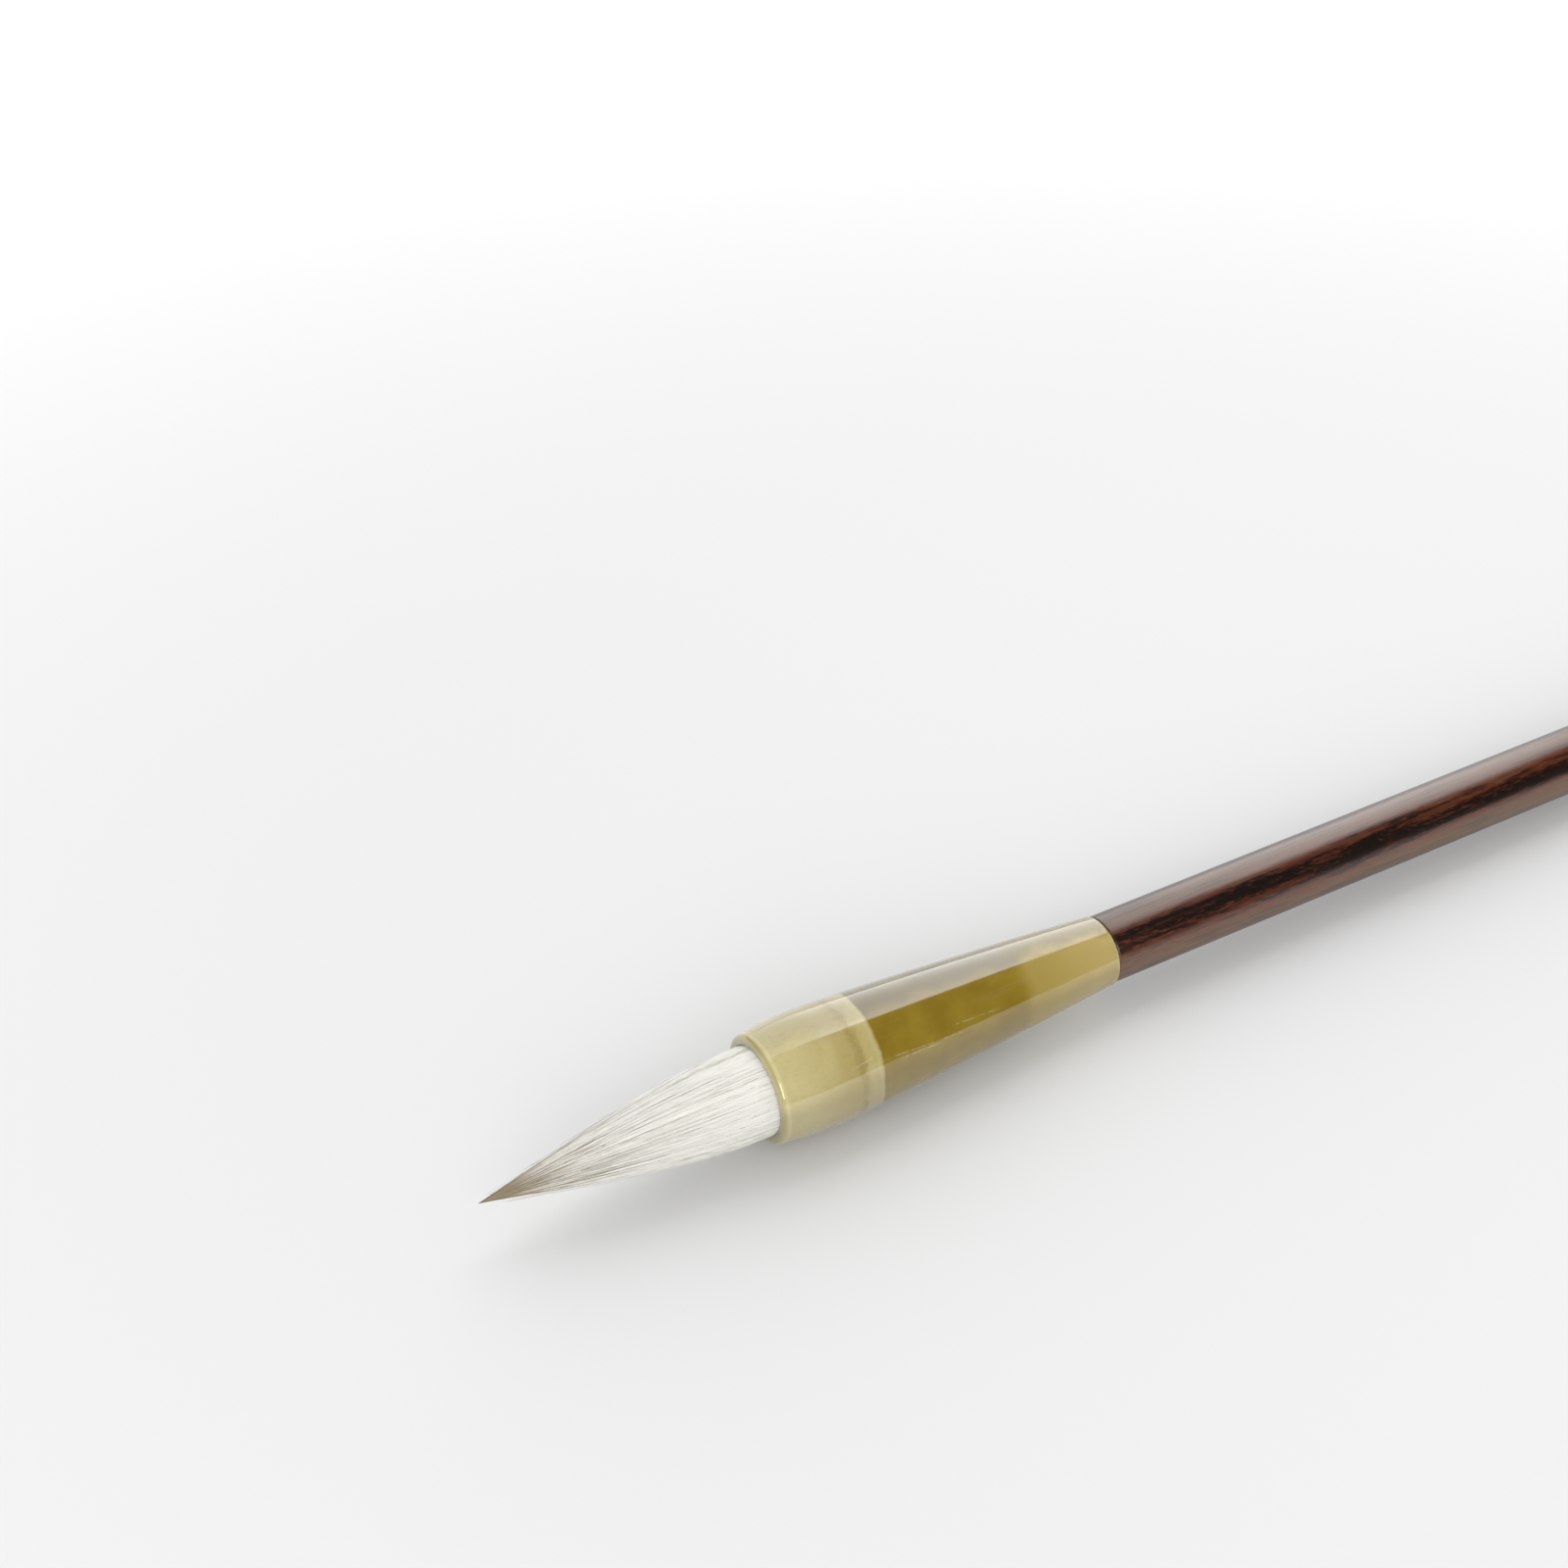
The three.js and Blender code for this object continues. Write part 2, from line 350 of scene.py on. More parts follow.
def pale_zone_colour(g, point, edge, mottle, cloud):
    """The horn over the hair socket, with a darker and a lighter ring where the root ends."""
    along = g.split(point)[0]
    fuzzy = edge + (mottle - 0.5) * 2.2
    dark_ring = g.line(fuzzy, ROOT_SEEN_AT, 0.9)
    behind_root = g.step(fuzzy, ROOT_SEEN_AT + 0.4, ROOT_SEEN_AT + 1.4)
    socket_end = g.line(edge, KNOT_SEEN_TO - 0.5, 0.5)
    grain = g.noise(stretched(g, point, 1.0, 2.6), 1.0, detail=4, roughness=0.7)
    colour = g.mix(g.step(along, 2, 12), PALE_HORN, GLUE_HORN)
    colour = g.mix(dark_ring * 0.5, colour, ROOT_HORN)
    colour = g.mix(behind_root * 0.14, colour, LIGHT_HORN_AND_RIM_HIGHLIGHT)
    colour = g.mix(socket_end * 0.12, colour, LIGHT_HORN_AND_RIM_HIGHLIGHT)
    colour = g.mix(g.step(grain, 0.5, 0.3) * 0.26, colour, GRAIN_HORN)
    return g.mix(g.step(cloud, 0.5, 0.7) * 0.18, colour, LIGHT_HORN_AND_RIM_HIGHLIGHT)


def horn_material(name, bored):
    """Polished translucent horn, with painted shade along its top, far side and underside. Where it is bored,
    hair and glue show through it as pale zones, the lip's end face carries painted shade and the rims a
    painted highlight.
    """
    material, g = new_material(name)
    point = brush_coordinates(g)
    along, y, z = g.split(point)
    cloud = g.noise(point, 0.22, detail=3)
    fibre = g.noise(stretched(g, point, 0.05, 1.1), 1.0, detail=4, roughness=0.6)
    colour = g.mix(g.step(cloud, 0.3, 0.75), SOLID_HORN, CLOUDED_HORN)
    coat = 1.0
    top_shade_depth = 0.5
    if bored:
        mottle = g.noise(point, 1.1, detail=5, roughness=0.65)
        edge = along + (g.noise(point, 0.35, detail=2) - 0.5) * 0.7 + (mottle - 0.5) * 0.4
        knot = 1 - g.step(edge, KNOT_SEEN_TO - 0.25, KNOT_SEEN_TO + 0.25)
        neck = g.step(edge, NECK_SEEN_FROM - 1.3, NECK_SEEN_FROM + 1.3)
        # painted shade on the lip's end face
        lip = 1 - g.step(along, 0.25, 0.5)
        # painted highlight: a light line along the round of the lip and along the narrow end's edge
        rim_highlight = g.line(along, 0.75, 0.35) + g.step(along, FERRULE_END - 0.5, FERRULE_END - 0.1)
        neck_colour = g.mix(g.step(along, NECK_SEEN_FROM, FERRULE_END), TENON_HORN, NECK_HORN)
        colour = g.mix(knot, colour, pale_zone_colour(g, point, edge, mottle, cloud))
        colour = g.mix(neck, colour, neck_colour)
        colour = g.mix(lip, colour, LIP_SHADE_HORN)
        colour = g.mix(rim_highlight * 0.35, colour, LIGHT_HORN_AND_RIM_HIGHLIGHT)
        colour = g.mix(scuffs(g, point) * 0.3, colour, SCUFF_LIGHT)
        coat = 1 - neck * 0.3
        top_shade_depth = 0.6 - knot * 0.36 - neck * 0.08
    colour = g.mix(g.step(fibre, 0.52, 0.8) * 0.07, colour, LIGHT_HORN_AND_RIM_HIGHLIGHT)

    # Painted shade: darker horn along the top and far side, and on the underside, set by which way the
    # surface faces
    radius = (y * y + z * z + 0.01) ** 0.5
    top_shade_facing = (y * 0.5 + z * 0.87) / radius + (cloud - 0.5) * 0.5
    under_shade_facing = 0 - z / radius + (cloud - 0.5) * 0.3
    colour = g.mix(g.step(top_shade_facing, 0.6, 0.88) * top_shade_depth, colour, TOP_SHADE_HORN)
    colour = g.mix(g.step(under_shade_facing, -0.5, -0.1) * 0.34, colour, UNDER_SHADE_HORN)

    scratch = g.noise(stretched(g, point, 0.35, 3.0), 1.0, detail=6, roughness=0.7)
    g.surface(
        base_color=colour,
        roughness=0.1 + g.step(scratch, 0.45, 0.8) * 0.14,
        normal=g.bump(scratch * 0.5 + g.noise(point, 0.5, detail=1), 0.02 * MM, 0.5),
        ior=1.5,
        subsurface_weight=0.8,
        subsurface_radius=(1.0, 1.0, 0.7),
        subsurface_scale=4 * MM,
        subsurface_anisotropy=0.6,
        coat_weight=coat,
        coat_roughness=0.06,
        coat_ior=1.62,
    )
    return material


GROWTH_ANGLE = math.radians(42)  # from the top towards -Y, where the growth layers lie flat
GROWTH_LAYERS = (
    # how far out from the middle of the handle, from -1 to 1, and the layer's colour
    (-1.00, (0.012, 0.006, 0.003)),
    (-0.86, (0.075, 0.022, 0.008)),
    (-0.60, (0.010, 0.005, 0.003)),
    (-0.38, (0.090, 0.030, 0.009)),
    (-0.10, (0.060, 0.014, 0.004)),
    (0.10, (0.014, 0.007, 0.003)),
    (0.32, (0.085, 0.036, 0.012)),
    (0.62, (0.125, 0.062, 0.025)),
    (0.84, (0.120, 0.042, 0.011)),
    (0.90, (0.115, 0.025, 0.005)),
    (0.94, (0.075, 0.012, 0.002)),
    (0.97, (0.008, 0.003, 0.001)),
)
STREAK_WOOD = (0.012, 0.004, 0.001)
FLECK_WOOD = (0.16, 0.027, 0.003)
PORE_WOOD = (0.006, 0.003, 0.002)


def rosewood_material():
    """Dark rosewood under lacquer: black and red-brown growth layers, streaks, flecks and pores."""
    material, g = new_material("rosewood")
    point = brush_coordinates(g)
    along, y, z = g.split(point)
    warp = g.noise(stretched(g, point, 0.03, 0.3), 1.0, detail=2)
    streak = g.noise(stretched(g, point, 0.09, 2.0), 1.0, detail=5, roughness=0.6)
    fleck = g.noise(stretched(g, point, 0.5, 2.4), 1.0, detail=4, roughness=0.65)
    pores = g.noise(stretched(g, point, 0.25, 7.0), 1.0, detail=3, roughness=0.6)
    pore = g.step(pores, 0.56, 0.66)
    front = 1 - g.step(along, FERRULE_END + 2, FERRULE_END + 14)  # livelier wood by the ferrule

    layer = (z * math.cos(GROWTH_ANGLE) - y * math.sin(GROWTH_ANGLE)) / HANDLE_RADIUS
    layer = layer + (warp - 0.5) * 0.4 + (streak - 0.5) * 0.4
    layer = layer + (fleck - 0.5) * (0.28 + front * 0.3) - front * 0.05
    stops = [(0.5 + out * 0.5, colour) for out, colour in GROWTH_LAYERS]
    colour = g.ramp(0.5 + layer * 0.5, stops)
    colour = g.mix(g.step(streak, 0.5, 0.36) * 0.5, colour, STREAK_WOOD)
    colour = g.mix(g.step(fleck, 0.54, 0.72) * 0.5, colour, FLECK_WOOD)
    colour = g.mix(pore * 0.5, colour, PORE_WOOD)
    g.surface(
        base_color=colour,
        roughness=0.5,
        normal=g.bump(0 - pore, 0.012 * MM, 0.5),
        specular_ior_level=0.0,
        coat_weight=1.0,
        coat_roughness=0.3,
        coat_ior=1.8,
    )
    return material


HAIR_WHITE = (0.89, 0.88, 0.825)
HAIR_GREY = (0.50, 0.46, 0.38)
HAIR_TIP = (0.27, 0.185, 0.078)


def hair_colour(g, reach, tone):
    """White hair that browns at its tip. Reach is 0 at the tip and 1 at the mouth."""
    white = g.mix(g.step(tone, 0.82, 1.0), HAIR_WHITE, HAIR_GREY)
    brown = 1 - g.step(reach - tone**2 * 0.36, 0.05, 0.22)
    return g.mix(brown * 0.87, white, HAIR_TIP)


def strand_material():
    """A strand carries its own tone, and how far along the tuft each of its points lies."""
    material, g = new_material("hair_strands")
    colour = hair_colour(g, g.attribute("reach"), g.attribute("tone"))
    g.surface(base_color=colour, roughness=0.55, specular_ior_level=0.35)
    return material


def tuft_material():
    """Packed hair seen between the strands: fine lengthwise lines that draw together at the tip."""
    material, g = new_material("packed_hair")
    x, y, z = g.split(brush_coordinates(g))
    radius = (y * y + z * z) ** 0.5 + 0.05
    around = g.join(x * 0.02, y / radius, z / radius)
    tone = g.noise(around, 26, detail=4, roughness=0.7)
    reach = (x - TIP) / -TIP
    colour = hair_colour(g, reach, tone)
    g.surface(base_color=colour, roughness=0.75, normal=g.bump(tone, 0.12 * MM, 0.8))
    return material


def plain_material(name, colour, speckle, roughness):
    """For the pieces inside the brush: a slightly uneven colour and finish."""
    material, g = new_material(name)
    point = brush_coordinates(g)
    uneven = g.noise(point, 1.3, detail=4)
    shade = g.mix(g.step(uneven, 0.35, 0.7), colour, speckle)
    g.surface(base_color=shade, roughness=roughness + uneven * 0.1, normal=g.bump(uneven, 0.05 * MM, 0.4))
    return material


# ---------------------------------------------------------------------------------------------
# Turned pieces

TURNED_SEGMENTS = 160
ARC_STEPS = 8


def add_piece(name, mesh, material, node):
    """Puts a mesh made in the brush's frame in its place, under the root body, and hides the CAD node it
    stands for.
    """
    mesh.transform(BRUSH_FRAME @ Matrix.Scale(MM, 4))
    mesh.materials.clear()
    mesh.materials.append(material)
    piece = bpy.data.objects.new(name, mesh)
    bpy.context.scene.collection.objects.link(piece)
    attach(piece, "root")
    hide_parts(node)


def turned_mesh(name, outline):
    """Turns an outline of (place, radius) points about the X axis. It runs from the tip's side to
    the butt on the outside, and either starts and ends on the axis or closes on itself."""
    closed = outline[0] == outline[-1]
    rings = outline[:-1] if closed else outline
    angles = np.linspace(0, 2 * math.pi, TURNED_SEGMENTS, endpoint=False)
    vertices, starts = [], []
    for along, radius in rings:
        starts.append(len(vertices))
        if radius == 0:
            vertices.append((along, 0, 0))
        else:
            vertices.extend((along, radius * math.cos(a), radius * math.sin(a)) for a in angles)
    faces = []
    pairs = [(i, i + 1) for i in range(len(rings) - 1)] + ([(len(rings) - 1, 0)] if closed else [])
    for first, second in pairs:
        for k in range(TURNED_SEGMENTS):
            n = (k + 1) % TURNED_SEGMENTS
            a0 = starts[first] + (k if rings[first][1] else 0)
            a1 = starts[first] + (n if rings[first][1] else 0)
            b0 = starts[second] + (k if rings[second][1] else 0)
            b1 = starts[second] + (n if rings[second][1] else 0)
            corners = [a0, a1, b1, b0]
            faces.append([c for i, c in enumerate(corners) if c not in corners[:i]])
    mesh = bpy.data.meshes.new(name)
    mesh.from_pydata(vertices, [], faces)
    mesh.shade_smooth()
    mesh.set_sharp_from_angle(angle=math.radians(32))
    return mesh


def arc(along, radius, size, start, end, steps=ARC_STEPS):
    """Points on a round of some size about a centre, from one angle to another in degrees."""
    angles = np.radians(np.linspace(start, end, steps + 1))
    return [(along + size * math.cos(a), radius + size * math.sin(a)) for a in angles]


def ferrule_radius(along):
    if along < BELLY_PLACE:
        return BELLY_RADIUS - (BELLY_RADIUS - MOUTH_RADIUS) * (1 - along / BELLY_PLACE) ** 2
    share = (along - BELLY_PLACE) / (FERRULE_END - BELLY_PLACE)
    return BELLY_RADIUS - (BELLY_RADIUS - NECK_RADIUS) * share**TAPER_POWER


def make_ferrule():
    taper_end = FERRULE_END - NECK_ROUND
    outside = [(a, ferrule_radius(a)) for a in np.linspace(LIP_ROUND, taper_end, 61)[1:-1]]
    lip = arc(LIP_ROUND, ferrule_radius(LIP_ROUND) - LIP_ROUND, LIP_ROUND, 180, 90)
    neck = arc(taper_end, ferrule_radius(taper_end) - NECK_ROUND, NECK_ROUND, 90, 0)
    mouth_edge = arc(MOUTH_EDGE, SOCKET_RADIUS + MOUTH_EDGE, MOUTH_EDGE, 270, 180)
    outline = [(SOCKET_BOTTOM, 0), (SOCKET_BOTTOM, SOCKET_RADIUS), *mouth_edge, *lip, *outside, *neck]
    outline += [
        (FERRULE_END, TENON_SOCKET_RADIUS),
        (TENON_SOCKET_BOTTOM, TENON_SOCKET_RADIUS),
        (TENON_SOCKET_BOTTOM, 0),
    ]
    mesh = turned_mesh("horn_ferrule", outline)
    add_piece("horn_ferrule", mesh, horn_material("ferrule_horn", True), "ferrule")


def make_handle():
    front = FERRULE_END + FACE_FIT
    chamfer = arc(front + HANDLE_CHAMFER, HANDLE_RADIUS - HANDLE_CHAMFER, HANDLE_CHAMFER, 180, 90)
    edge = BUTT_SEAM_EDGE
    back_edge = arc(HANDLE_END - edge, HANDLE_RADIUS - edge, edge, 90, 0, steps=4)
    bore = HANDLE_RADIUS - CAP_BORE_WALL
    outline = [(TENON_FRONT, 0), (TENON_FRONT, TENON_RADIUS), (front, TENON_RADIUS), *chamfer, *back_edge]
    outline += [(HANDLE_END, bore), (HANDLE_END - CAP_BORE_DEPTH, bore), (HANDLE_END - CAP_BORE_DEPTH, 0)]
    mesh = turned_mesh("rosewood_handle", outline)
    add_piece("rosewood_handle", mesh, rosewood_material(), "handle_shaft")


def make_cap():
    front = HANDLE_END + FACE_FIT
    dome_start = HANDLE_END + TOUCH_GAP + CAP_STRAIGHT
    face = HANDLE_RADIUS - CAP_ROUND
    dome = [
        (dome_start + (CAP_END - dome_start) * math.sin(a), face + CAP_ROUND * math.cos(a))
        for a in np.radians(np.linspace(0, 90, 25))
    ]
    edge = BUTT_SEAM_EDGE
    front_edge = arc(front + edge, HANDLE_RADIUS - edge, edge, 180, 90, steps=4)
    edge = CORD_HOLE_EDGE
    hole_edge = arc(CAP_END - edge, CORD_HOLE_RADIUS + edge, edge, 0, -90, steps=6)
    outline = [(CAP_TENON_FRONT, 0), (CAP_TENON_FRONT, CAP_TENON_RADIUS), (front, CAP_TENON_RADIUS)]
    outline += [*front_edge, *dome, *hole_edge]
    outline += [(CAP_END - CORD_HOLE_DEPTH, CORD_HOLE_RADIUS), (CAP_END - CORD_HOLE_DEPTH, 0)]
    mesh = turned_mesh("horn_cap", outline)
    add_piece("horn_cap", mesh, horn_material("cap_horn", False), "butt_cap")


# ---------------------------------------------------------------------------------------------
# The tuft: a grooved body of packed hair, and strands laid over it by geometry nodes

TUFT_HANDLES = ((0.33, 0.45), (0.68, 1.0))  # of the outline's curve, as shares of length and radius
HAIR_ROOT = 2.2  # how far inside the mouth the strands start


def tuft_outline(steps):
    """(reach, share of the knot's radius) along the tuft, from its tip at reach 0 to the mouth at 1."""
    (x1, y1), (x2, y2) = TUFT_HANDLES
    points = []
    for t in np.linspace(0, 1, steps + 1):
        x = 3 * x1 * t * (1 - t) ** 2 + 3 * x2 * t**2 * (1 - t) + t**3
        y = 3 * y1 * t * (1 - t) ** 2 + 3 * y2 * t**2 * (1 - t) + t**3
        points.append((x, y))
    return points


BODY_INSET = 0.22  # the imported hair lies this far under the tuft's outline
BODY_POINT = 0.6  # and its own point this far behind the tip
BODY_SEGMENTS = 360
GROOVE = 0.16


def make_tuft_body(material):
    outline = tuft_outline(110)
    angles = np.linspace(0, 2 * math.pi, BODY_SEGMENTS, endpoint=False)
    vertices = [(TIP + BODY_POINT, 0, 0)]
    for reach, share in outline[2:]:
        along = TIP * (1 - reach)
        for a in angles:
            lump = noise.fractal(
                Vector((math.cos(a) * 7, math.sin(a) * 7, along * 0.035)), 0.8, 2.1, 4
            )
            inset = min(BODY_INSET, share) + GROOVE * (0.5 + 0.5 * lump)
            radius = max(share * KNOT_RADIUS - inset * min(1, share * 2), 0.02)
            vertices.append((along, radius * math.cos(a), radius * math.sin(a)))
    rings = len(outline) - 2
    last = np.array(vertices[-BODY_SEGMENTS:])
    vertices.extend(map(tuple, last + np.array((HAIR_ROOT, 0, 0))))
    vertices.append((HAIR_ROOT, 0, 0))
    faces = []
    for k in range(BODY_SEGMENTS):
        n = (k + 1) % BODY_SEGMENTS
        faces.append((0, 1 + n, 1 + k))
        for ring in range(rings):
            a, b = 1 + ring * BODY_SEGMENTS, 1 + (ring + 1) * BODY_SEGMENTS
            faces.append((a + k, a + n, b + n, b + k))
        end = 1 + rings * BODY_SEGMENTS
        faces.append((end + k, end + n, len(vertices) - 1))
    mesh = bpy.data.meshes.new("packed_hair")
    mesh.from_pydata(vertices, [], faces)
    mesh.shade_smooth()
    add_piece("packed_hair", mesh, material, "mantle_hairs")


STRAND_POINTS = 9
STRAND_SIDES = 3
STRAND_SIZES = {
    "Strands": 3800,
    "Seed": 1,
    "Length": -TIP,
    "Knot radius": SOCKET_RADIUS - 0.03,
    "Strand radius": 0.05,
    "Layer depth": 0.3,
    "Groove depth": 0.3,
    "Reach spread": 0.8,
    "Locks": 60.0,
    "Lock pull": 0.35,
    "Wander": 0.6,
    "Flyaway": 0.7,
}
STRAND_SEEDS = (1, 2)  # one piece of the tuft for each


def strand_tree(material):
    """Strands that start inside the ferrule and follow the tuft's outline to where each one ends."""
    tree = bpy.data.node_groups.new("lay_strands", "GeometryNodeTree")
    for name, size in STRAND_SIZES.items():
        kind = "NodeSocketInt" if isinstance(size, int) else "NodeSocketFloat"
        tree.interface.new_socket(name, in_out="INPUT", socket_type=kind)
    tree.interface.new_socket("Geometry", in_out="OUTPUT", socket_type="NodeSocketGeometry")
    g = Graph(tree)
    group = g.node("NodeGroupInput").socket.node
    size = {name: Value(g, group.outputs[name]) for name in STRAND_SIZES}

    straight = g.node("GeometryNodeCurvePrimitiveLine", {}, {"End": (1, 0, 0)})
    straight = g.node("GeometryNodeResampleCurve", {}, {"Curve": straight, "Count": STRAND_POINTS})
    points = g.node("GeometryNodePoints", {}, {"Count": size["Strands"]})
    strands = g.node("GeometryNodeInstanceOnPoints", {}, {"Points": points, "Instance": straight})
    strands = g.node("GeometryNodeRealizeInstances", {}, {"Geometry": strands})

    number = g.node("GeometryNodeCurveOfPoint")
    run = g.node("GeometryNodeSplineParameter")

    def random(draw, low=0.0, high=1.0):
        """A number for each strand, the same at all its points. Each draw is its own number."""
        inputs = {2: low, 3: high, "ID": number, "Seed": size["Seed"] * 16 + draw}
        return g.node("FunctionNodeRandomValue", {"data_type": "FLOAT"}, inputs, output=1)

    end_reach = random(1) * size["Reach spread"]
    start = 1 + HAIR_ROOT / size["Length"]
    reach = start + (end_reach - start) * run
    outline = [(0, 0), *tuft_outline(8)[1:]]
    share = g.node("ShaderNodeFloatCurve", {"points": outline}, {"Value": g.math("MINIMUM", reach, 1)})

    turn = random(2) * 2 * math.pi
    lock = (g.math("FLOOR", turn * size["Locks"] / (2 * math.pi)) + 0.5) * 2 * math.pi / size["Locks"]
    turn = turn + (lock - turn) * size["Lock pull"] * run ** 1.5
    drift = g.join(number * 0.731, run * 1.6, size["Seed"] * 3.1)
    sway = g.noise(drift, 1.0, detail=1) - 0.5
    lift = g.noise(g.join(number * 0.413, run * 2.3, size["Seed"] * 5.7 + 40), 1.0, detail=1) - 0.5
    turn = turn + sway * run * size["Wander"] / (share * size["Knot radius"] + 0.8)
    groove = g.join(g.math("COSINE", turn) * 14, g.math("SINE", turn) * 14, reach * 2.2)
    groove = g.step(g.noise(groove, 1.0, detail=2, roughness=0.6), 0.52, 0.36) * size["Groove depth"]
    groove = groove * (1.3 - reach)
    depth = (random(3) ** 1.6 * size["Layer depth"] + groove) * share
    stray = (random(4) > 0.985) * random(5) * size["Flyaway"] * run ** 2.5
    radius = share * size["Knot radius"] - size["Strand radius"] - depth + lift * 0.3 * run * share + stray
    radius = g.math("MAXIMUM", radius, 0.03)
    along = (reach - 1) * size["Length"]
    place_at = g.join(along, radius * g.math("COSINE", turn), radius * g.math("SINE", turn))
    strands = g.node("GeometryNodeSetPosition", {}, {"Geometry": strands, "Position": place_at})

    def store(geometry, name, value):
        settings = {"data_type": "FLOAT", "domain": "POINT"}
        inputs = {"Geometry": geometry, "Name": name, "Value": value}
        return g.node("GeometryNodeStoreNamedAttribute", settings, inputs)

    strands = store(strands, "reach", reach)
    strands = store(strands, "tone", random(6))
    width = size["Strand radius"] * (0.7 + random(7) * 0.6) * (1 - 0.75 * run ** 2)
    strands = g.node("GeometryNodeSetCurveRadius", {}, {"Curve": strands, "Radius": width})
    section = g.node("GeometryNodeCurvePrimitiveCircle", {}, {"Resolution": STRAND_SIDES, "Radius": 1.0})
    thickness = g.node("GeometryNodeInputRadius")
    inputs = {"Curve": strands, "Profile Curve": section, "Scale": thickness, "Fill Caps": True}
    mesh = g.node("GeometryNodeCurveToMesh", {}, inputs)
    mesh = g.node("GeometryNodeRealizeInstances", {}, {"Geometry": mesh})
    mesh = g.node("GeometryNodeSetMaterial", {}, {"Geometry": mesh, "Material": material})
    g.node("NodeGroupOutput", {}, {"Geometry": mesh})
    return tree


def grown_mesh(name, tree, sizes):
    """Runs a geometry tree with the given sizes and returns its result as a plain mesh."""
    carrier = bpy.data.objects.new(name + "_carrier", bpy.data.meshes.new(name + "_carrier"))
    bpy.context.scene.collection.objects.link(carrier)
    modifier = carrier.modifiers.new("grow", "NODES")
    modifier.node_group = tree
    for item in tree.interface.items_tree:
        if item.in_out == "INPUT":
            modifier[item.identifier] = sizes[item.name]
    evaluated = carrier.evaluated_get(bpy.context.evaluated_depsgraph_get())
    mesh = bpy.data.meshes.new_from_object(evaluated)
    mesh.name = name
    carrier.modifiers.remove(modifier)
    bpy.data.objects.remove(carrier)
    return mesh


def make_strands():
    material = strand_material()
    tree = strand_tree(material)
    for seed in STRAND_SEEDS:
        name = f"hair_strands_{seed}"
        mesh = grown_mesh(name, tree, {**STRAND_SIZES, "Seed": seed})
        add_piece(name, mesh, material, "mantle_hairs")


# ---------------------------------------------------------------------------------------------
# Pieces inside the brush keep their CAD shapes

def dress_inner_pieces(hair):
    glue = plain_material("cured_glue", (0.68, 0.62, 0.33), (0.60, 0.52, 0.24), 0.35)
    seal = plain_material("set_rosin", (0.25, 0.14, 0.03), (0.16, 0.08, 0.02), 0.25)
    thread = plain_material("wound_silk", (0.48, 0.42, 0.30), (0.36, 0.31, 0.21), 0.7)
    finishes = {
        "secondary_hairs": hair,
        "core_hairs": hair,
        "root_binding_thread": thread,
        "rosin_seal": seal,
        "knot_glue": glue,
        "tenon_glue": glue,
        "cap_glue": glue,
    }
    for node, material in finishes.items():
        for slot in frame["nodes"][node].material_slots:
            slot.material = material


# ---------------------------------------------------------------------------------------------
# Studio

FLOOR_REACH = 40  # metres from the brush to each edge
FLOOR_SHADED_NEAR = (0.68, 0.68, 0.675)
FLOOR_LIT_FAR = (0.95, 0.95, 0.945)


def make_floor():
    """A wide matt floor with painted light and shade: darker near the brush and whiter away from it, where
    the lamps' light falls off.
    """
    mesh = bpy.data.meshes.new("floor")
    corners = [(x * FLOOR_REACH, y * FLOOR_REACH, 0) for x, y in ((-1, -1), (1, -1), (1, 1), (-1, 1))]
    mesh.from_pydata(corners, [], [(0, 1, 2, 3)])
    material, g = new_material("studio_floor")
    place_on_floor = g.node("ShaderNodeTexCoord", {}, {}, output="Object")
    distance = g.node("ShaderNodeVectorMath", {"operation": "LENGTH"}, {0: place_on_floor}, output=1)
    # painted shade near the brush, painted light further out
    painted_light_falloff = g.mix(g.step(distance, 0.12, 0.55), FLOOR_SHADED_NEAR, FLOOR_LIT_FAR)
    g.surface(base_color=painted_light_falloff, roughness=0.9, specular_ior_level=0.1)
    mesh.materials.append(material)
    floor = bpy.data.objects.new("floor", mesh)
    bpy.context.scene.collection.objects.link(floor)


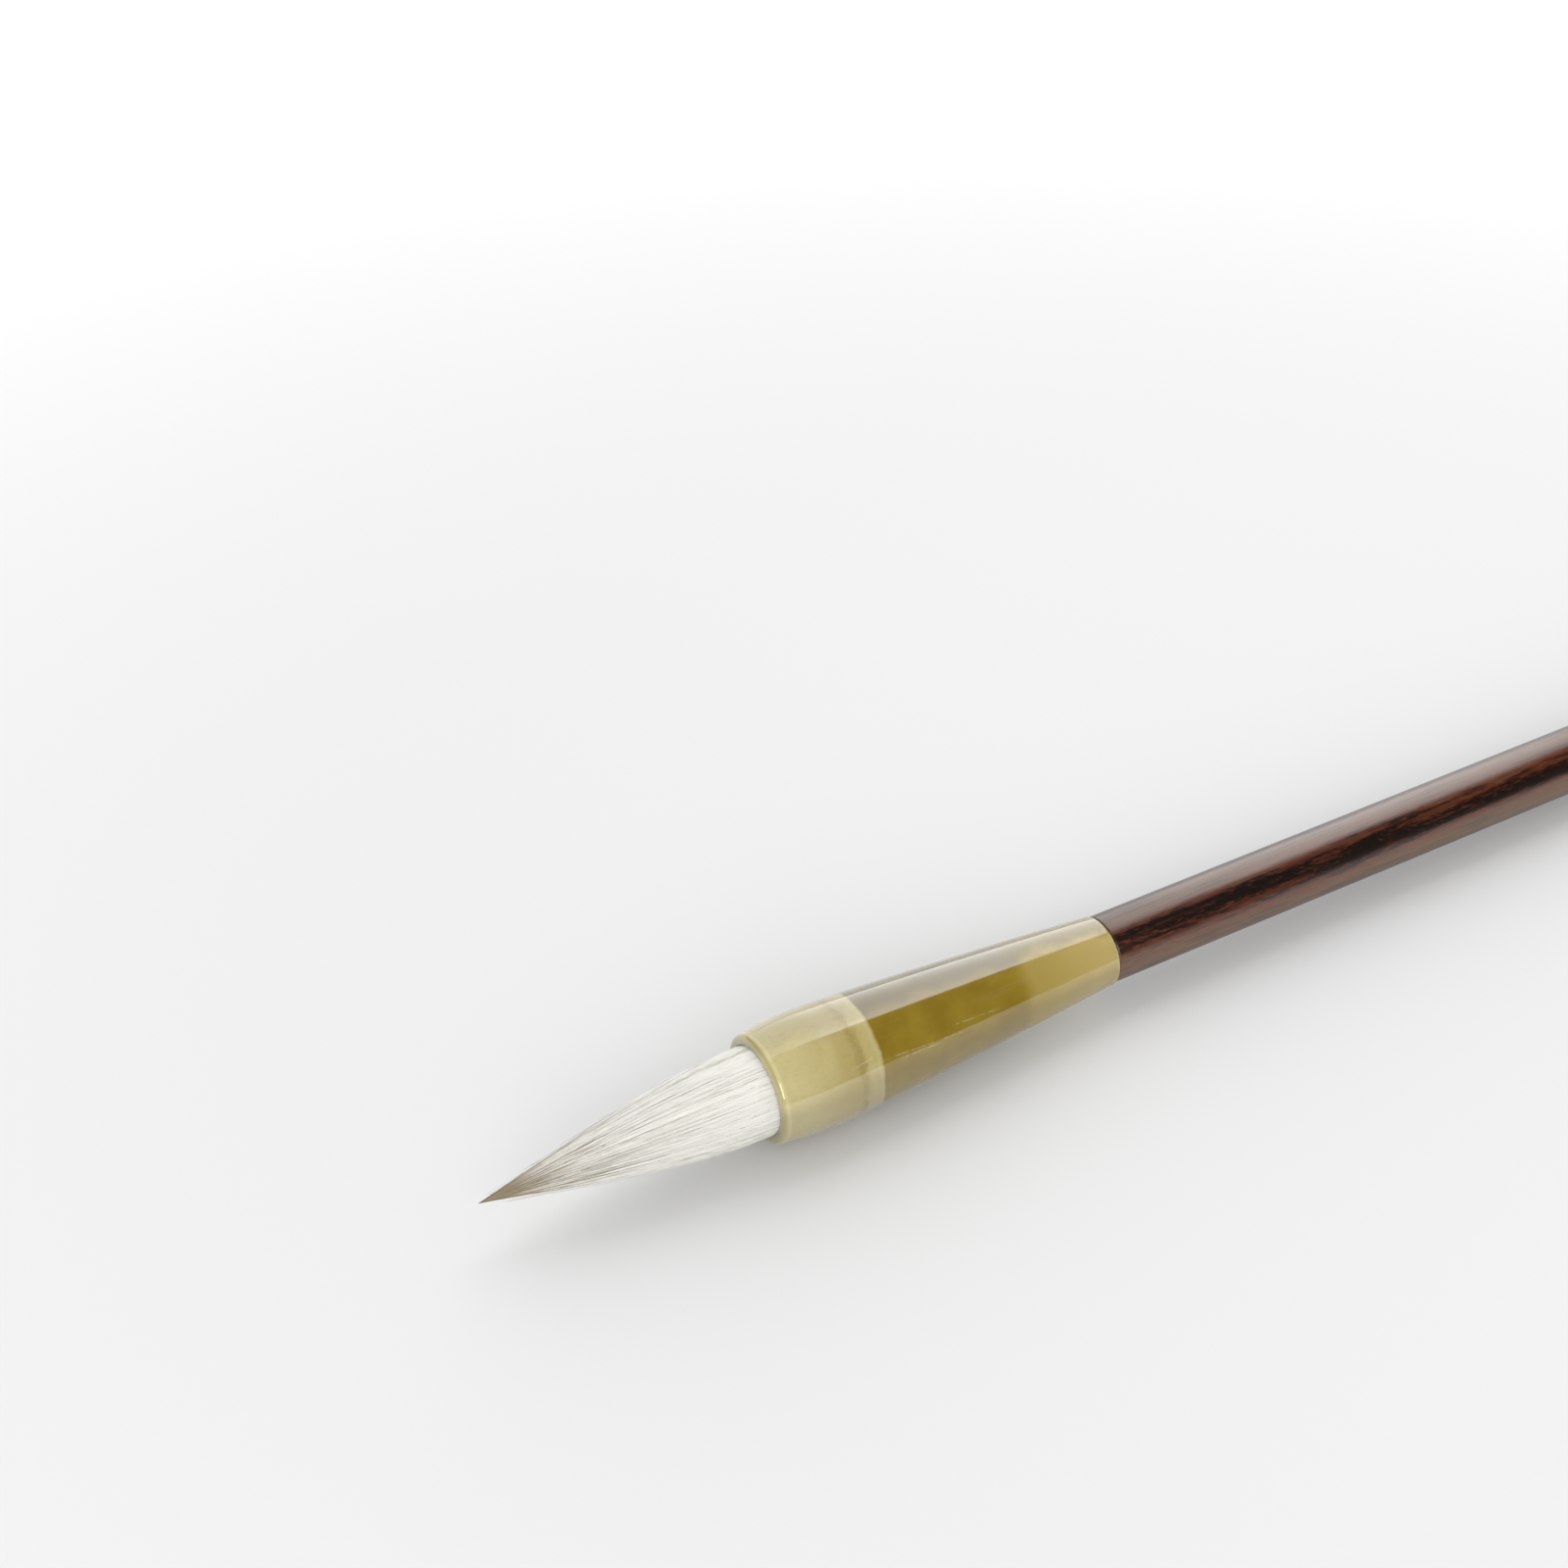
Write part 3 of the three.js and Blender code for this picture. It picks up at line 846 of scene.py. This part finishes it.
def add_softbox(name, aim, direction, distance, size, power, colour=(1, 1, 1)):
    """A rectangular light that faces a point. Its size is width and height."""
    data = bpy.data.lights.new(name, "AREA")
    data.shape = "RECTANGLE"
    data.size, data.size_y = size
    data.energy = power
    data.color = colour
    light = bpy.data.objects.new(name, data)
    toward = Vector(direction).normalized()
    light.location = Vector(aim) + toward * distance
    light.rotation_euler = toward.to_track_quat("Z", "Y").to_euler()
    light.visible_camera = False
    bpy.context.scene.collection.objects.link(light)
    return data


def fade_softbox(data, dim, start, end):
    """Dims a softbox smoothly on the tip's side: between two shares of its width from there."""
    data.use_nodes = True
    g = Graph(data.node_tree)
    width = 1 - g.split(g.node("ShaderNodeNewGeometry", output="Parametric"))[0]
    strength = dim + (1 - dim) * g.step(width, start, end)
    emission = g.node("ShaderNodeEmission", {}, {"Strength": strength})
    g.node("ShaderNodeOutputLight", {}, {"Surface": emission})


WORLD_LIGHT = (0.75, 0.75, 0.75)
WORLD_IN_GLOSS = (0.02, 0.02, 0.02)
WORLD_SEEN = (0.683, 0.683, 0.678)  # as bright as the far floor


def make_world():
    """Pale to the eye and to matt surfaces, and dim to polished ones, so that they show the lights."""
    world = bpy.data.worlds.new("studio")
    world.use_nodes = True
    g = Graph(world.node_tree)
    rays = g.node("ShaderNodeLightPath").socket.node.outputs
    seen, glossy = Value(g, rays["Is Camera Ray"]), Value(g, rays["Is Glossy Ray"])
    colour = g.mix(seen, g.mix(glossy, WORLD_LIGHT, WORLD_IN_GLOSS), WORLD_SEEN)
    background = g.node("ShaderNodeBackground", {}, {"Color": colour, "Strength": 1.0})
    g.node("ShaderNodeOutputWorld", {}, {"Surface": background})
    world.cycles.sampling_method = "NONE"
    bpy.context.scene.world = world


def light_studio():
    key = add_softbox(
        "key",
        aim=(0.55, 0, 0),
        direction=(0, 0.72, 0.695),
        distance=1.2,
        size=(1.7, 2.05),
        power=30.5,
        colour=(0.98, 0.99, 1.01),
    )
    fade_softbox(key, dim=0.33, start=0.28, end=0.72)
    add_softbox("fill", aim=(0, 0, 0), direction=(-0.35, -0.8, 0.5), distance=1.2, size=(0.7, 0.7), power=6)


make_ferrule()
make_handle()
make_cap()
packed_hair = tuft_material()
make_tuft_body(packed_hair)
make_strands()
dress_inner_pieces(packed_hair)
make_floor()
make_world()
light_studio()
bpy.context.scene.view_settings.view_transform = "Standard"
